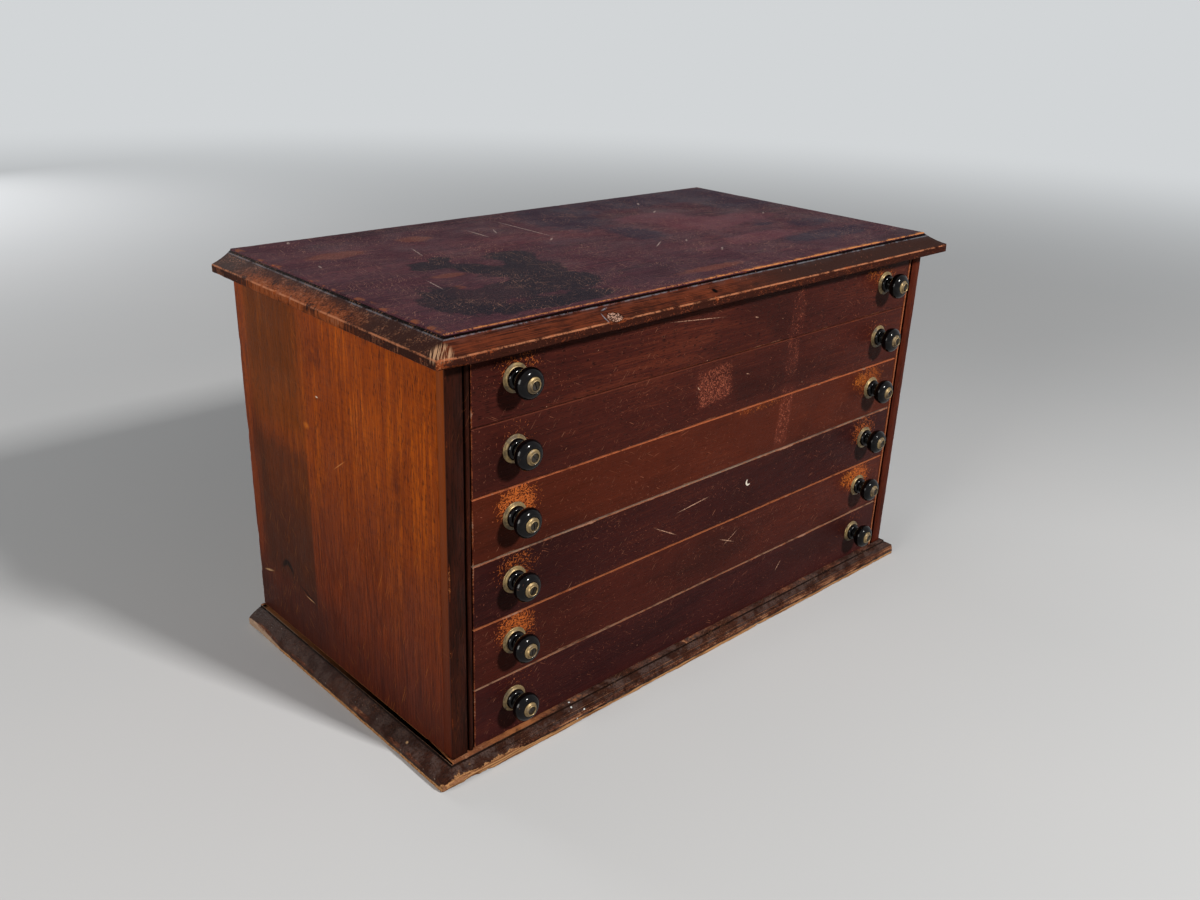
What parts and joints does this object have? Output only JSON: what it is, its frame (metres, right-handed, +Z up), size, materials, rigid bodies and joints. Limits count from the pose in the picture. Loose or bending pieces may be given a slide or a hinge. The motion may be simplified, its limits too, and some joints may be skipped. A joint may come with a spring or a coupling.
{
  "type": "spool cabinet",
  "caption": "Antique wooden counter-top spool cabinet with a moulded top and base, beaded stiles, shallow dovetailed drawers with divider slats, and turned knobs with brass roses.",
  "frame": {"origin": "on the underside of the base, in the middle of the case's plan (half-way between its sides, and between the stile faces and the back edges)", "axes": "+X to the right seen from the front, +Y from the front to the back, +Z up"},
  "size_m": [0.687, 0.3672, 0.4018],
  "materials": {
    "side_wood": "old shellac over walnut, satin",
    "stile_wood": "old shellac, satin, worn arrises",
    "front_wood": "dark aged shellac, satin",
    "top_wood": "dark aged shellac, satin, worn",
    "base_wood": "worn and dusty",
    "back_wood": "unfinished, aged",
    "drawer_wood": "unfinished, aged",
    "knob_wood": "ebonised, glossy",
    "brass": "aged, satin"
  },
  "bodies": {
    "case": {"top_board": "top_wood", "base_board": "base_wood", "case_side_left": "side_wood", "case_side_right": "side_wood", "stile_left": "stile_wood", "stile_right": "stile_wood", "back_board_lower": "back_wood", "back_board_middle": "back_wood", "back_board_upper": "back_wood", "runners_left": "drawer_wood", "runners_right": "drawer_wood"},
    "drawer_1": {"drawer_1_front": "front_wood", "drawer_1_side_left": "drawer_wood", "drawer_1_side_right": "drawer_wood", "drawer_1_back": "drawer_wood", "drawer_1_bottom": "drawer_wood", "drawer_1_dividers": "drawer_wood", "drawer_1_knobs": "knob_wood", "drawer_1_knob_brass": "brass"},
    "drawer_2": {"drawer_2_front": "front_wood", "drawer_2_side_left": "drawer_wood", "drawer_2_side_right": "drawer_wood", "drawer_2_back": "drawer_wood", "drawer_2_bottom": "drawer_wood", "drawer_2_dividers": "drawer_wood", "drawer_2_knobs": "knob_wood", "drawer_2_knob_brass": "brass"},
    "drawer_3": {"drawer_3_front": "front_wood", "drawer_3_side_left": "drawer_wood", "drawer_3_side_right": "drawer_wood", "drawer_3_back": "drawer_wood", "drawer_3_bottom": "drawer_wood", "drawer_3_dividers": "drawer_wood", "drawer_3_knobs": "knob_wood", "drawer_3_knob_brass": "brass"},
    "drawer_4": {"drawer_4_front": "front_wood", "drawer_4_side_left": "drawer_wood", "drawer_4_side_right": "drawer_wood", "drawer_4_back": "drawer_wood", "drawer_4_bottom": "drawer_wood", "drawer_4_dividers": "drawer_wood", "drawer_4_knobs": "knob_wood", "drawer_4_knob_brass": "brass"},
    "drawer_5": {"drawer_5_front": "front_wood", "drawer_5_side_left": "drawer_wood", "drawer_5_side_right": "drawer_wood", "drawer_5_back": "drawer_wood", "drawer_5_bottom": "drawer_wood", "drawer_5_dividers": "drawer_wood", "drawer_5_knobs": "knob_wood", "drawer_5_knob_brass": "brass"},
    "drawer_6": {"drawer_6_front": "front_wood", "drawer_6_side_left": "drawer_wood", "drawer_6_side_right": "drawer_wood", "drawer_6_back": "drawer_wood", "drawer_6_bottom": "drawer_wood", "drawer_6_dividers": "drawer_wood", "drawer_6_knobs": "knob_wood", "drawer_6_knob_brass": "brass"}
  },
  "joints": [
    {"name": "drawer_1_slide", "type": "slide", "parent": "case", "child": "drawer_1", "axis": [0, -1, 0], "range_m": [0, 0.25]},
    {"name": "drawer_2_slide", "type": "slide", "parent": "case", "child": "drawer_2", "axis": [0, -1, 0], "range_m": [0, 0.25]},
    {"name": "drawer_3_slide", "type": "slide", "parent": "case", "child": "drawer_3", "axis": [0, -1, 0], "range_m": [0, 0.25]},
    {"name": "drawer_4_slide", "type": "slide", "parent": "case", "child": "drawer_4", "axis": [0, -1, 0], "range_m": [0, 0.25]},
    {"name": "drawer_5_slide", "type": "slide", "parent": "case", "child": "drawer_5", "axis": [0, -1, 0], "range_m": [0, 0.25]},
    {"name": "drawer_6_slide", "type": "slide", "parent": "case", "child": "drawer_6", "axis": [0, -1, 0], "range_m": [0, 0.25]}
  ]
}
